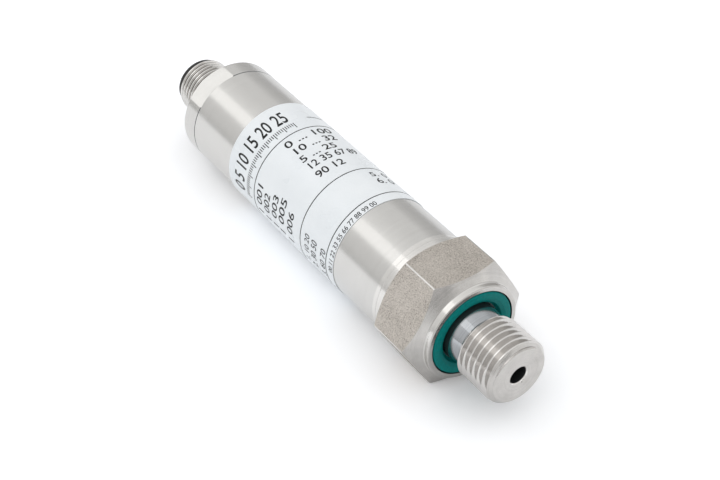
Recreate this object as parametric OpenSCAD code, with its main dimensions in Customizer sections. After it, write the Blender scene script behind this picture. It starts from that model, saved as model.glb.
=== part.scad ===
// Pressure transmitter, lying on a flat of its hexagon.
// Frame: +X points out of the pressure port, Z is up, and the origin is the
// centre of the sealing face. All lengths are millimetres.

/* [Tube] */
// outside diameter of the housing tube
tube_od = 22; // [21.6:0.1:22.2]
// wall of the housing tube
tube_wall = 1; // [0.9:0.05:1.1]
// length of the housing tube
tube_length = 65; // [64:0.5:70]

/* [Pressure port] */
// major diameter of the process thread
port_thread_d = 13.157; // [12.9:0.001:13.2]
// from the sealing face to the tip
stud_length = 12.8; // [12:0.1:14]
// diameter of the relief between thread and collar
relief_d = 11.2; // [10.8:0.1:11.4]
// diameter of the pressure bore
bore_d = 3.5; // [2.5:0.1:4]
// diameter of the collar that carries the seal
collar_d = 19.8; // [19.4:0.1:20.6]
// across the flats of the hexagon
hex_flats = 23; // [22.8:0.1:24]
// length of the hexagon at its corners
hex_length = 8.25; // [7.5:0.05:8.5]

/* [Connector head] */
// major diameter of the plug thread
plug_thread_d = 12; // [11.8:0.05:12]
// length of the plug thread with its lead
plug_length = 10.3; // [10:0.1:10.6]
// across the two spanner flats of the head
spanner_flats = 19.8; // [19.6:0.1:20.4]
// length of the head's full diameter
head_length = 4.1; // [3.8:0.1:4.6]
// diameter of a contact pin
contact_d = 1; // [0.9:0.05:1]
// diameter of the circle the outer contacts stand on
contact_circle = 5; // [4.8:0.1:5.2]

/* [Label] */
// from the sealing face to the label's near edge
label_start = 27.8; // [24:0.1:30]
// length of the label
label_length = 37.3; // [30:0.1:42]
// thickness of the label
label_thick = 0.1; // [0.06:0.01:0.12]

/* [Sensor capsule] */
// outside diameter of the capsule
capsule_d = 17; // [16.8:0.1:17]
// length of the capsule
capsule_length = 6.4; // [6.2:0.1:6.6]
// diameter of a header pin
header_pin_d = 0.5; // [0.4:0.05:0.6]

/* [Boards] */
// thickness of the main board
board_thick = 1.6; // [1.4:0.1:1.6]
// width of the main board
board_width = 15; // [14.8:0.1:15]

/* [Fits] */
// radial clearance of parts that slide or press together
fit_clear = 0.05; // [0.02:0.01:0.06]
// clearance left under a squeezed ring of rubber
ring_clear = 0.02; // [0.01:0.01:0.03]

/* [Hidden] */
$fn = 64;
eps = 0.01;

// tube
tube_r = tube_od / 2;
tube_in_r = tube_r - tube_wall;
spigot_r = tube_in_r - fit_clear;

// port, from the tip backwards
thread_r = port_thread_d / 2;
relief_r = relief_d / 2;
tip_bevel = 0.95;
bore_sink = 0.2;
thread_start = 3.4;
thread_lead = 0.5;
collar_r = collar_d / 2;
collar_base = -1.235;
collar_edge = 0.2;
collar_fillet = 0.5;
seal_floor = -1.2;
seal_wall_r = 8.9;
seal_seat_r = 5.9;
seal_in_r = seal_seat_r + 0.35;
seal_out_r = seal_wall_r - 0.25;
seal_proud = 0.1;
seal_edge = 0.2;
seal_flat = 1.1;
seal_brow = [0.5, 0.15];
seal_rim = 0.75;
seat_length = 0.55;
corner_r = hex_flats / sqrt(3);
cone_tan = tan(30);
hex_front = collar_base - (corner_r - collar_r) * cone_tan;
hex_rear = hex_front - hex_length;
shoulder_r = tube_r + 0.15;
shoulder_front = hex_rear - (corner_r - shoulder_r) * cone_tan;
shoulder_length = 1.54;
tube_front = shoulder_front - shoulder_length;
spigot_length = 6.8;
spigot_end = tube_front - spigot_length;
cavity_r = capsule_d / 2 + 2 * fit_clear;
cavity_floor = -6.2;
chamber_r = 6;
chamber_depth = 0.6;

// capsule
capsule_r = capsule_d / 2;
capsule_back = cavity_floor - capsule_length;
ledge_depth = 1;
ledge_x = cavity_floor - ledge_depth;
ledge_r = 7.4;
weld_width = 0.95;
oil_step = 0.4;
oil_r = 6.3;
cup_r = 4.6;
cup_depth = 2.6;
cup_floor = ledge_x - cup_depth;
film = 0.1;
ripple_start_r = 1.6;
ripple_pitch = 0.7;
ripple_rise = 0.16;
cell_size = 3.2;
pedestal_height = 1.1;
chip_height = 0.5;
membrane_size = 1.4;
membrane_thick = 0.2;
pin_circle_r = 3.3;
bead_r = 0.8;
header_pin_r = header_pin_d / 2;
fill_r = 0.62;
fill_depth = 1;
groove_r = 7;
groove_inset = 2.7;
ring_groove = 2.4;
groove_front = cavity_floor - groove_inset;
groove_back = groove_front - ring_groove;
nut_length = 2.4;
nut_in_r = 6.2;
nut_slot = 2;
nut_back = capsule_back - nut_length;
signal_gap = 1.2;
signal_front = nut_back - signal_gap;
signal_thick = 1;
signal_back = signal_front - signal_thick;
signal_r = 7.6;
pin_stub = 0.6;
pin_tail = signal_back - pin_stub;

// head, from the tube backwards
tube_rear = tube_front - tube_length;
head_spigot = 6.6;
head_front = tube_rear + head_spigot;
head_rear = tube_rear - head_length;
head_bevel_r = 9.85;
head_bevel = 1.45;
head_bevel_x = head_rear - head_bevel;
plug_r = plug_thread_d / 2;
plug_end = head_bevel_x - plug_length;
plug_lead = 0.7;
head_bore_r = 7.6;
head_web = 1.2;
head_floor = tube_rear + head_web;
carrier_bore_r = 4.9;
head_groove_r = 8.7;
head_groove_inset = 2;
head_groove_width = 2.2;
head_groove_back = tube_rear + head_groove_inset;
head_groove_front = head_groove_back + head_groove_width;
lip_r = 5.2;
lip_length = 0.55;
lip_edge = 0.15;
insert_r = carrier_bore_r - fit_clear;
insert_hollow_r = 4.25;
insert_depth = 8.6;
insert_face = plug_end + insert_depth;
insert_rise = 1.6;
insert_back = head_floor + insert_rise;
insert_groove_r = 3.95;
insert_groove_inset = 4;
insert_groove_width = 1.8;
insert_groove_front = insert_back - insert_groove_inset;
insert_groove_back = insert_groove_front - insert_groove_width;
rib_width = 0.8;
rib_inset = 0.6;
contact_r = contact_d / 2;
contact_body_r = contact_r + 0.2;
contact_tail_r = contact_r - 0.2;
contact_inset = 1;
contact_point = 0.4;
contact_tip = plug_end + contact_inset;
contact_board_inset = 1.2;
contact_board_thick = 1;
contact_board_gap = 0.3;
contact_board_front = head_front - contact_board_inset;
contact_board_back = contact_board_front - contact_board_thick;
contact_board_r = head_bore_r - contact_board_gap;
contact_stub = 0.6;
contact_tail = contact_board_front + contact_stub;
carrier_ring_r = 7;
carrier_ring_thick = 0.9;

// main board and its carrier, between the port's spigot and the head
sleeve_front_gap = 1;
sleeve_rear_gap = 0.6;
sleeve_front = spigot_end - sleeve_front_gap;
sleeve_back = head_front + sleeve_rear_gap;
sleeve_r = tube_in_r - fit_clear;
sleeve_wall = 0.2;
carrier_r = sleeve_r - sleeve_wall - 3 * fit_clear;
carrier_ring_in = 7.8;
carrier_rail_in = 6.9;
carrier_front_gap = 3;
carrier_rear_gap = 4.6;
carrier_front = spigot_end - carrier_front_gap;
carrier_back = head_front + carrier_rear_gap;
carrier_band = 2;
carrier_rail = 4;
slot_clear = 0.05;
board_reach = 1;
board_front = carrier_front + board_reach;
board_rear = carrier_back - board_reach;
board_length = board_front - board_rear;
board_top = board_thick / 2;
chip_gap = 0.1;
chip_leg = 0.4;
leg_reach = 0.8;
leg_foot = 0.2;
ribbon_width = 6;
ribbon_thick = 0.3;
ribbon_pad = 3;
ribbon_top = 5.4;
pad_half = 0.8;
amplifier_size = [5, 4, 1.5];
processor_size = [7, 7, 1.2];
processor_legs = 7;
driver_size = [5, 4, 1.5];
regulator_size = [6.5, 3.6, 1.6];
diode_size = [4.6, 3.6, 2.3];
tantalum_size = [7.3, 4.3, 2.8];
ceramic_size = [2, 1.25, 0.9];
resistor_size = [0.5, 0.8, 1.6];
resistor_inset = 1.3;
ceramic_side = 4.8;
diode_side = 2.9;
tab_size = [3, 1.6, 0.5];
tab_side = 0.5;
regulator_leg = [0.7, 1.6, 0.5];
choke_r = 3.2;
choke_core_r = 2.2;
choke_height = 3.2;
choke_flange = 0.8;

// top of the board, from front to rear, with equal gaps between
top_row = [ribbon_pad, amplifier_size[0], processor_size[0], driver_size[0],
  regulator_size[0], diode_size[0], ribbon_pad];
top_gap = (board_length - total(top_row, len(top_row))) / (len(top_row) - 1);

function total(list, count) =
  count == 0 ? 0 : list[count - 1] + total(list, count - 1);

// middle of the piece at place i of the top row
function top_x(i) =
  board_front - total(top_row, i) - i * top_gap - top_row[i] / 2;

// quarter points of the board, for what stands on its underside
function under_x(i) = board_front - i * board_length / 4;

module turned(profile) {
  rotate([0, 90, 0])
    rotate_extrude()
      polygon(profile);
}

module rod(r, x0, x1) {
  translate([min(x0, x1), 0, 0])
    rotate([0, 90, 0])
      cylinder(r = r, h = abs(x1 - x0));
}

module hollow_rod(r_out, r_in, x0, x1) {
  difference() {
    rod(r_out, x0, x1);
    rod(r_in, min(x0, x1) - 1, max(x0, x1) + 1);
  }
}

module block(x, y, z, size) {
  translate([x - size[0] / 2, y - size[1] / 2, z])
    cube(size);
}

// five places of a ring of six, the sixth is the fill hole
module header_places() {
  for (i = [1:5])
    rotate([60 * i, 0, 0])
      translate([0, 0, pin_circle_r])
        children();
}

// four contacts on a circle and one in the middle
module contact_places() {
  children();
  for (i = [0:3])
    rotate([45 + 90 * i, 0, 0])
      translate([0, 0, contact_circle / 2])
        children();
}

// rubber ring pressed flat between two walls, with rounded shoulders
module squeezed_ring(r_in, r_out, x_mid, half_width) {
  ring_shoulder = (r_out - r_in) / 4;
  flank = half_width - ring_shoulder;
  turned([[r_in + ring_clear, x_mid - flank],
    [r_in + ring_shoulder, x_mid - half_width],
    [r_out - ring_shoulder, x_mid - half_width],
    [r_out - ring_clear, x_mid - flank], [r_out - ring_clear, x_mid + flank],
    [r_out - ring_shoulder, x_mid + half_width],
    [r_in + ring_shoulder, x_mid + half_width],
    [r_in + ring_clear, x_mid + flank]]);
}

// concave round between the collar and the cone of the hexagon
function collar_foot(steps) =
  let (reach = collar_fillet * cone_tan)
    [for (i = [0:steps])
      let (turn = 60 * i / steps)
        [collar_r + collar_fillet * (1 - cos(turn)),
          collar_base + reach - collar_fillet * sin(turn)]];

// pressure port: stud, seal groove, collar, hexagon and rear spigot in one
module pressure_port() {
  color([0.78, 0.77, 0.75])
    difference() {
      union() {
        turned([[0, stud_length], [thread_r - tip_bevel, stud_length],
          [thread_r, stud_length - tip_bevel],
          [thread_r, thread_start + thread_lead],
          [relief_r, thread_start], [relief_r, seat_length],
          [seal_seat_r, seat_length], [seal_seat_r, seal_floor],
          [seal_wall_r, seal_floor], [seal_wall_r, 0],
          [collar_r - collar_edge, 0], [collar_r, -collar_edge],
          [collar_r, hex_front], [0, hex_front]]);
        intersection() {
          translate([tube_front - 1, 0, 0])
            rotate([0, 90, 0])
              rotate([0, 0, 30])
                cylinder(r = corner_r, h = abs(tube_front), $fn = 6);
          turned(concat([[0, collar_base], [collar_r - collar_edge, collar_base]],
            collar_foot(4), [[corner_r, hex_front],
            [corner_r + 1, hex_front], [corner_r + 1, hex_rear],
            [corner_r, hex_rear], [shoulder_r, shoulder_front],
            [0, shoulder_front]]));
        }
        rod(shoulder_r, shoulder_front + 1, tube_front);
        rod(spigot_r, tube_front + 1, spigot_end);
      }
      rod(bore_d / 2, 2 * stud_length, cavity_floor - 1);
      turned([[0, stud_length + 1], [bore_d / 2 + bore_sink + 1, stud_length + 1],
        [bore_d / 2, stud_length - bore_sink], [0, stud_length - bore_sink]]);
      rod(chamber_r, cavity_floor + chamber_depth, cavity_floor - 1);
      rod(cavity_r, cavity_floor, spigot_end - 1);
    }
}

// profiled rubber ring: flat rim outside, rounded brow, slope to the relief
module port_seal_ring() {
  color([0, 0.42, 0.40])
    turned([[seal_in_r, seal_floor], [seal_out_r, seal_floor],
      [seal_out_r, seal_proud - seal_edge], [seal_out_r - seal_edge, seal_proud],
      [seal_out_r - seal_edge - seal_flat, seal_proud],
      [seal_in_r + seal_brow[0], -seal_brow[1]],
      [seal_in_r + seal_proud, -seal_rim], [seal_in_r, -seal_rim]]);
}

// steel body of the capsule with its oil cup and the web for the pins
module sensor_body() {
  color([0.72, 0.72, 0.72])
    difference() {
      turned([[0, cavity_floor], [capsule_r, cavity_floor],
        [capsule_r, groove_front], [groove_r, groove_front],
        [groove_r, groove_back], [capsule_r, groove_back],
        [capsule_r, capsule_back], [0, capsule_back]]);
      rod(ledge_r, ledge_x, cavity_floor + 1);
      rod(oil_r, ledge_x - oil_step, cavity_floor);
      rod(cup_r, cup_floor, cavity_floor);
      header_places()
        rod(bead_r, cup_floor + 1, capsule_back - 1);
      translate([0, 0, pin_circle_r])
        rod(fill_r, cup_floor + 1, capsule_back - 1);
    }
}

module weld_ring() {
  color([0.70, 0.70, 0.70])
    hollow_rod(ledge_r - fit_clear, ledge_r - fit_clear - weld_width,
      cavity_floor, ledge_x + film);
}

// thin rippled disc between the medium and the oil
module isolating_diaphragm() {
  front = [for (i = [0:6])
    [ripple_start_r + i * ripple_pitch, ledge_x + film + (i % 2) * ripple_rise]];
  back = [for (i = [6:-1:0])
    [ripple_start_r + i * ripple_pitch, ledge_x + (i % 2) * ripple_rise]];
  color([0.80, 0.80, 0.80])
    turned(concat([[0, ledge_x], [0, ledge_x + film]], front,
      [[ledge_r - fit_clear, ledge_x + film], [ledge_r - fit_clear, ledge_x]],
      back));
}

module cell_pedestal() {
  color([0.85, 0.88, 0.86])
    translate([cup_floor, -cell_size / 2, -cell_size / 2])
      cube([pedestal_height, cell_size, cell_size]);
}

// silicon chip, thinned from its front to a small membrane
module silicon_chip() {
  chip_base = cup_floor + pedestal_height;
  color([0.25, 0.27, 0.32])
    difference() {
      translate([chip_base, -cell_size / 2, -cell_size / 2])
        cube([chip_height, cell_size, cell_size]);
      translate([chip_base + membrane_thick, -membrane_size / 2,
          -membrane_size / 2])
        cube([chip_height, membrane_size, membrane_size]);
    }
}

module feedthrough_glass() {
  color([0.20, 0.35, 0.30])
    header_places()
      hollow_rod(bead_r - ring_clear, header_pin_r + ring_clear,
        cup_floor - 0.1, capsule_back + 0.1);
}

module header_pins() {
  color([0.85, 0.72, 0.38])
    header_places()
      rod(header_pin_r, cup_floor + pin_stub, pin_tail);
}

module fill_ball() {
  color([0.75, 0.75, 0.76])
    translate([capsule_back + fill_depth, 0, pin_circle_r])
      sphere(r = fill_r - ring_clear, $fn = 24);
}

module capsule_oring() {
  color([0.05, 0.05, 0.05])
    squeezed_ring(groove_r, cavity_r, (groove_front + groove_back) / 2,
      0.4 * ring_groove);
}

// ring nut that holds the capsule against the floor of the port
module retaining_ring() {
  color([0.68, 0.68, 0.66])
    difference() {
      hollow_rod(cavity_r - fit_clear, nut_in_r, capsule_back, nut_back);
      translate([nut_back - nut_slot / 2, -nut_slot / 2, -cavity_r])
        cube([nut_slot, nut_slot, 2 * cavity_r]);
    }
}

module signal_board() {
  color([0.05, 0.30, 0.16])
    difference() {
      rod(signal_r, signal_front, signal_back);
      header_places()
        rod(header_pin_r + fit_clear, signal_front + 1, signal_back - 1);
    }
}

module trim_resistors() {
  color([0.10, 0.10, 0.12])
    for (i = [-1, 0, 1])
      translate([signal_back - resistor_size[0],
          (3 * i - 0.5) * resistor_size[1], -signal_r + resistor_inset])
        cube(resistor_size);
}

// film cable of this side outline, bent in one plane
module ribbon(outline) {
  color([0.80, 0.52, 0.18])
    translate([0, ribbon_width / 2, 0])
      rotate([90, 0, 0])
        linear_extrude(height = ribbon_width)
          polygon(outline);
}

// from its pad on the signal board down to the main board
module front_ribbon() {
  x1 = signal_back;
  x2 = board_front;
  z1 = ribbon_top;
  z2 = board_top;
  f = ribbon_thick;
  p = pad_half;
  ribbon([[x1, z1 + p], [x1, z1 - p], [x1 - f, z1 - p], [x1 - f, z1 - f],
    [x1 - 2, z1 - f], [x1 - 4, z1 - 1.2], [x2 - 0.2, z2 + 1.4], [x2 - 1.2, z2],
    [x2 - ribbon_pad, z2], [x2 - ribbon_pad, z2 + f], [x2 - 1.4, z2 + f],
    [x2 - 0.4, z2 + 1.7], [x1 - 3.9, z1 - 0.8], [x1 - 1.9, z1], [x1 - f, z1],
    [x1 - f, z1 + p]]);
}

// moulded cage: two bands and two rails that hold the board by its edges
module board_carrier() {
  color([0.16, 0.17, 0.19])
    difference() {
      union() {
        hollow_rod(carrier_r, carrier_ring_in, carrier_front,
          carrier_front - carrier_band);
        hollow_rod(carrier_r, carrier_ring_in, carrier_back + carrier_band,
          carrier_back);
        intersection() {
          hollow_rod(carrier_r, carrier_rail_in, carrier_front, carrier_back);
          translate([carrier_back, -carrier_r, -carrier_rail / 2])
            cube([carrier_front - carrier_back, 2 * carrier_r, carrier_rail]);
        }
      }
      translate([carrier_back - 1, -board_width / 2 - slot_clear,
          -board_top - slot_clear])
        cube([carrier_front - carrier_back + 2, board_width + 2 * slot_clear,
          board_thick + 2 * slot_clear]);
    }
}

module insulating_sleeve() {
  color([0.80, 0.78, 0.62])
    hollow_rod(sleeve_r, sleeve_r - sleeve_wall, sleeve_front, sleeve_back);
}

module main_board() {
  color([0.05, 0.32, 0.18])
    translate([board_rear, -board_width / 2, -board_top])
      cube([board_length, board_width, board_thick]);
}

// cranked legs along the two long sides of a chip
module chip_legs(width, height, legs, pitch) {
  for (i = [0:legs - 1])
    for (side = [-1, 1])
      translate([(i - (legs - 1) / 2) * pitch, 0, board_top]) {
        block(0, side * (width + leg_reach - leg_foot) / 2, 0,
          [chip_leg, leg_reach + leg_foot, leg_foot]);
        block(0, side * (width / 2 + leg_foot / 2), 0,
          [chip_leg, 1.5 * leg_foot, height / 2]);
      }
}

// chip body standing on two rows of legs
module small_outline(x, size, legs, pitch) {
  translate([x, 0, 0])
    chip_legs(size[1], size[2], legs, pitch);
  block(x, 0, board_top + chip_gap, size);
}

// square chip with legs on its four sides
module processor() {
  color([0.07, 0.07, 0.08]) {
    small_outline(top_x(2), processor_size, processor_legs, 0.8);
    translate([top_x(2), 0, 0])
      rotate([0, 0, 90])
        chip_legs(processor_size[0], processor_size[2], processor_legs, 0.8);
  }
}

module amplifier() {
  color([0.07, 0.07, 0.08])
    small_outline(top_x(1), amplifier_size, 4, 1.27);
}

module output_driver() {
  color([0.07, 0.07, 0.08])
    small_outline(top_x(3), driver_size, 4, 1.27);
}

// flat package: cooling tab on one side, three legs on the other
module voltage_regulator() {
  size = regulator_size;
  leg_y = size[1] / 2 + tab_side;
  color([0.08, 0.08, 0.09]) {
    block(top_x(4), 0, board_top + chip_gap, size);
    block(top_x(4), leg_y, board_top, tab_size);
    for (i = [-1, 0, 1])
      block(top_x(4) + i * size[0] * 0.36, -leg_y, board_top, regulator_leg);
  }
}

module tantalum_capacitors() {
  color([0.80, 0.60, 0.22])
    for (i = [1, 2])
      block(under_x(i), 0, -board_top - tantalum_size[2], tantalum_size);
}

module ceramic_capacitors() {
  color([0.62, 0.48, 0.36])
    for (i = [1, 3])
      for (side = [-1, 1])
        block(top_x(i), side * ceramic_side, board_top, ceramic_size);
}

// coil former of ferrite between two flanges
module filter_choke() {
  color([0.18, 0.18, 0.20])
    translate([under_x(3), 0, -board_top - choke_height]) {
      cylinder(r = choke_r, h = choke_flange);
      cylinder(r = choke_core_r, h = choke_height);
      translate([0, 0, choke_height - choke_flange])
        cylinder(r = choke_r, h = choke_flange);
    }
}

module suppressor_diodes() {
  color([0.09, 0.09, 0.10])
    for (side = [-1, 1])
      block(top_x(5), side * diode_side, board_top, diode_size);
}

// from the rear end of the main board up to the contact board
module rear_ribbon() {
  x1 = board_rear;
  x2 = contact_board_front;
  z1 = board_top;
  z2 = 5;
  f = ribbon_thick;
  ribbon([[x1 + ribbon_pad, z1], [x1 + 1, z1], [x1 - 0.4, z1 + 1.6],
    [x1 - 2.2, z2 - 0.6], [x1 - 3, z2 - f], [x2 + f, z2 - f], [x2 + f, z2 - 0.9],
    [x2, z2 - 0.9], [x2, z2 + 0.9], [x2 + f, z2 + 0.9], [x2 + f, z2],
    [x1 - 3.1, z2], [x1 - 2.4, z2 - 0.25], [x1 - 0.6, z1 + 1.9],
    [x1 + 1.1, z1 + f], [x1 + ribbon_pad, z1 + f]]);
}

module contact_board() {
  color([0.05, 0.30, 0.16])
    difference() {
      rod(contact_board_r, contact_board_front, contact_board_back);
      contact_places()
        rod(contact_tail_r + fit_clear, contact_board_front + 1,
          contact_board_back - 1);
    }
}

// free end, thicker body held in the insert and thin tail for the board
module contact_pins() {
  color([0.86, 0.70, 0.34])
    contact_places()
      turned([[0, contact_tail], [contact_tail_r, contact_tail],
        [contact_tail_r, insert_back], [contact_body_r, insert_back],
        [contact_body_r, insert_face], [contact_r, insert_face],
        [contact_r, contact_tip + contact_point], [contact_r / 2, contact_tip],
        [0, contact_tip]]);
}

// black insert: contact base, liner of the plug, lip and coding rib in one
module contact_carrier() {
  color([0.04, 0.04, 0.045])
    difference() {
      union() {
        turned([[0, insert_back], [insert_r, insert_back],
          [insert_r, insert_groove_front], [insert_groove_r, insert_groove_front],
          [insert_groove_r, insert_groove_back], [insert_r, insert_groove_back],
          [insert_r, plug_end], [lip_r, plug_end],
          [lip_r, plug_end - lip_length + lip_edge],
          [lip_r - lip_edge, plug_end - lip_length],
          [insert_hollow_r, plug_end - lip_length],
          [insert_hollow_r, insert_face], [0, insert_face]]);
        translate([plug_end + rib_inset, -rib_width / 2,
            insert_hollow_r - 0.75 * rib_width])
          cube([insert_depth - rib_inset + eps, rib_width, rib_width]);
      }
      contact_places()
        rod(contact_body_r + ring_clear, insert_back + 1, insert_face - 1);
    }
}

module carrier_oring() {
  color([0.05, 0.05, 0.05])
    squeezed_ring(insert_groove_r, carrier_bore_r,
      (insert_groove_front + insert_groove_back) / 2,
      0.4 * insert_groove_width);
}

// push-on ring that keeps the insert from leaving the head
module carrier_ring() {
  color([0.70, 0.70, 0.68])
    hollow_rod(carrier_ring_r, insert_r + ring_clear, head_floor,
      head_floor + carrier_ring_thick);
}

// head: spigot with ring groove, spanner flats, bevel and plug thread in one
module connector_head() {
  color([0.76, 0.75, 0.73])
    difference() {
      turned([[0, head_front], [spigot_r, head_front],
        [spigot_r, head_groove_front], [head_groove_r, head_groove_front],
        [head_groove_r, head_groove_back], [spigot_r, head_groove_back],
        [spigot_r, tube_rear], [tube_r, tube_rear], [tube_r, head_rear],
        [head_bevel_r, head_bevel_x], [plug_r, head_bevel_x],
        [plug_r, plug_end + plug_lead], [plug_r - plug_lead, plug_end],
        [0, plug_end]]);
      rod(carrier_bore_r, head_front + 1, plug_end - 1);
      rod(head_bore_r, head_front + 1, head_floor);
      rotate([30, 0, 0])
        for (side = [0, 180])
          rotate([side, 0, 0])
            translate([head_bevel_x - 1, -tube_r, spanner_flats / 2])
              cube([tube_rear - head_bevel_x + 1, tube_od, 5]);
    }
}

module head_oring() {
  color([0.05, 0.05, 0.05])
    squeezed_ring(head_groove_r, tube_in_r,
      (head_groove_front + head_groove_back) / 2, 0.4 * head_groove_width);
}

module housing_tube() {
  color([0.80, 0.79, 0.77])
    hollow_rod(tube_r, tube_in_r, tube_front, tube_rear);
}

// wrapped label, its two ends leave a narrow gap underneath
module label() {
  color([0.90, 0.92, 0.93])
    difference() {
      hollow_rod(tube_r + ring_clear + label_thick, tube_r + ring_clear,
        -label_start, -label_start - label_length);
      translate([-label_start - label_length - 1, -0.5, -tube_r - 2])
        cube([label_length + 2, 1, 4]);
    }
}

pressure_port();
port_seal_ring();
sensor_body();
weld_ring();
isolating_diaphragm();
cell_pedestal();
silicon_chip();
feedthrough_glass();
header_pins();
fill_ball();
capsule_oring();
retaining_ring();
signal_board();
trim_resistors();
front_ribbon();
board_carrier();
insulating_sleeve();
main_board();
processor();
amplifier();
output_driver();
voltage_regulator();
tantalum_capacitors();
ceramic_capacitors();
filter_choke();
suppressor_diodes();
rear_ribbon();
contact_board();
contact_pins();
contact_carrier();
carrier_oring();
carrier_ring();
connector_head();
head_oring();
housing_tube();
label();
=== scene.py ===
import math

import bmesh
import bpy
from mathutils import Matrix, Vector


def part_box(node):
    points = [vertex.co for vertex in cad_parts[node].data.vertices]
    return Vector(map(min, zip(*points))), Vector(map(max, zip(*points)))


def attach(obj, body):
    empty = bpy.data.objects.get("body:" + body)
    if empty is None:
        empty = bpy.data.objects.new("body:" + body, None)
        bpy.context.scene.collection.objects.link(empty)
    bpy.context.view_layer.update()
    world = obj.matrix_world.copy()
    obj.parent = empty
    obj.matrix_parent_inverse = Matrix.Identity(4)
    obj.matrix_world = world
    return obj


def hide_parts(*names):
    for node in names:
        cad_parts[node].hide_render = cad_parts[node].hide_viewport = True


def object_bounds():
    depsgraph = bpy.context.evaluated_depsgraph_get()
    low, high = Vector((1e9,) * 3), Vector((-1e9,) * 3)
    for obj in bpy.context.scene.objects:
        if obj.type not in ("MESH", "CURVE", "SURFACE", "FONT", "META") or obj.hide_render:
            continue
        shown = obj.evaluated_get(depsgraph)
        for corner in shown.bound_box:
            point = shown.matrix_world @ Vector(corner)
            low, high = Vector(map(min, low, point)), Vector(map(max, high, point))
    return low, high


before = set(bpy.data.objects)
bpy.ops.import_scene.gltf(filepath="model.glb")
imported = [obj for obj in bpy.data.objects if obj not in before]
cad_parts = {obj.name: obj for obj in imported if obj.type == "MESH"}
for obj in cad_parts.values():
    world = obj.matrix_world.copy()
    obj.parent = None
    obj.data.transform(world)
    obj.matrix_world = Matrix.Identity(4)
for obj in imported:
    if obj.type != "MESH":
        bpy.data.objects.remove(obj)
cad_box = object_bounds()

# ---------------------------------------------------------------------------
# Pressure port. Turned in one piece from hexagonal bar of stainless steel, with
# a pipe thread, a relief, a seal groove in its collar and the spigot that the
# tube is welded to. The hexagon keeps the rough skin of the bar.
# ---------------------------------------------------------------------------
mm = 0.001
round_steps = 144
port_rear, port_tip = (corner.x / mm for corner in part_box("pressure_port"))
hex_flats = 2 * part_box("pressure_port")[1].z / mm
tube_rear, tube_front = (corner.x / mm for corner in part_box("housing_tube"))
tube_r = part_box("housing_tube")[1].z / mm
tube_wall = 1
spigot_clear = 0.1
spigot_r = tube_r - tube_wall - spigot_clear
# the stud's thread is G 1/4; x is counted from the sealing face
stud_r = 6.5785
stud_pitch = 1.337
stud_thread_depth = 0.856
thread_start = 3.1
tip_bevel = 0.95
relief_r = 5.6
relief_end = 3.4
neck_r = 5.4
seat_r = 5.9
seat_end = 0.55
groove_floor = -1.2
groove_wall_r = 8.9
collar_r = 9.9
collar_base = -1.235
collar_edge = 0.2
collar_fillet = 0.5
cone_r = 13.6
cone_slope = math.tan(math.radians(30))
shoulder_r = tube_r + 0.15
shoulder_front = tube_front + 1.54
weld_groove_depth = 0.08
weld_groove_half = 0.1
cavity_r = 8.6
cavity_floor = -6.2
chamber_r = 6
chamber_front = cavity_floor + 0.6
bore_r = 1.75
bore_sink = 0.25
edge_break = 0.05
corner_break = 0.18
# room for telling faces apart by their place
slack = 0.1


def turned(bm, outline, advance=0):
    """Spins an outline of (x, radius) points in mm once round the X axis, screwed along by advance mm."""
    points = [bm.verts.new((x * mm, 0, r * mm)) for x, r in outline]
    lines = [bm.edges.new(pair) for pair in zip(points, points[1:])]
    bmesh.ops.spin(bm, geom=points + lines, cent=(0, 0, 0), axis=(1, 0, 0),
                   dvec=(advance * mm / round_steps, 0, 0), angle=2 * math.pi,
                   steps=round_steps, use_merge=not advance)


def merge_points(bm):
    """Merges points that are less than a micrometre apart."""
    bmesh.ops.remove_doubles(bm, verts=bm.verts, dist=0.0008 * mm)


def close_shell(bm):
    """Merges the seams of a turned shell and points its faces outwards."""
    merge_points(bm)
    bmesh.ops.recalc_face_normals(bm, faces=bm.faces)


def ease_edges(bm, width, edges=None, least_angle=22):
    """Breaks these edges, or every sharp one, by a small round of this width in mm."""
    if edges is None:
        edges = [e for e in bm.edges
                 if len(e.link_faces) == 2 and e.calc_face_angle() > math.radians(least_angle)]
    return bmesh.ops.bevel(bm, geom=edges, offset=width * mm, offset_type="OFFSET", segments=2,
                           profile=0.5, material=-1, affect="EDGES", clamp_overlap=True)["faces"]


def mill_flat(bm, faces, distance, angle, skin):
    """Cuts a flat at this distance from the axis, its normal turned by angle from +Z towards -Y."""
    normal = Vector((0, -math.sin(math.radians(angle)), math.cos(math.radians(angle))))
    edges = {e for f in faces for e in f.edges}
    verts = {v for e in edges for v in e.verts}
    cut = bmesh.ops.bisect_plane(bm, geom=list(verts) + list(edges) + list(faces),
                                 dist=1e-7, plane_co=normal * distance * mm, plane_no=normal,
                                 clear_outer=True, clear_inner=False)
    rim = [e for e in cut["geom_cut"] if isinstance(e, bmesh.types.BMEdge) and len(e.link_faces) == 1]
    bmesh.ops.edgeloop_fill(bm, edges=rim, mat_nr=skin, use_smooth=False)


def join_shell(bm, other):
    """Adds another bmesh's shell to this one, and frees it."""
    spare = bpy.data.meshes.new("spare")
    other.to_mesh(spare)
    other.free()
    bm.from_mesh(spare)
    bpy.data.meshes.remove(spare)


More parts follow.
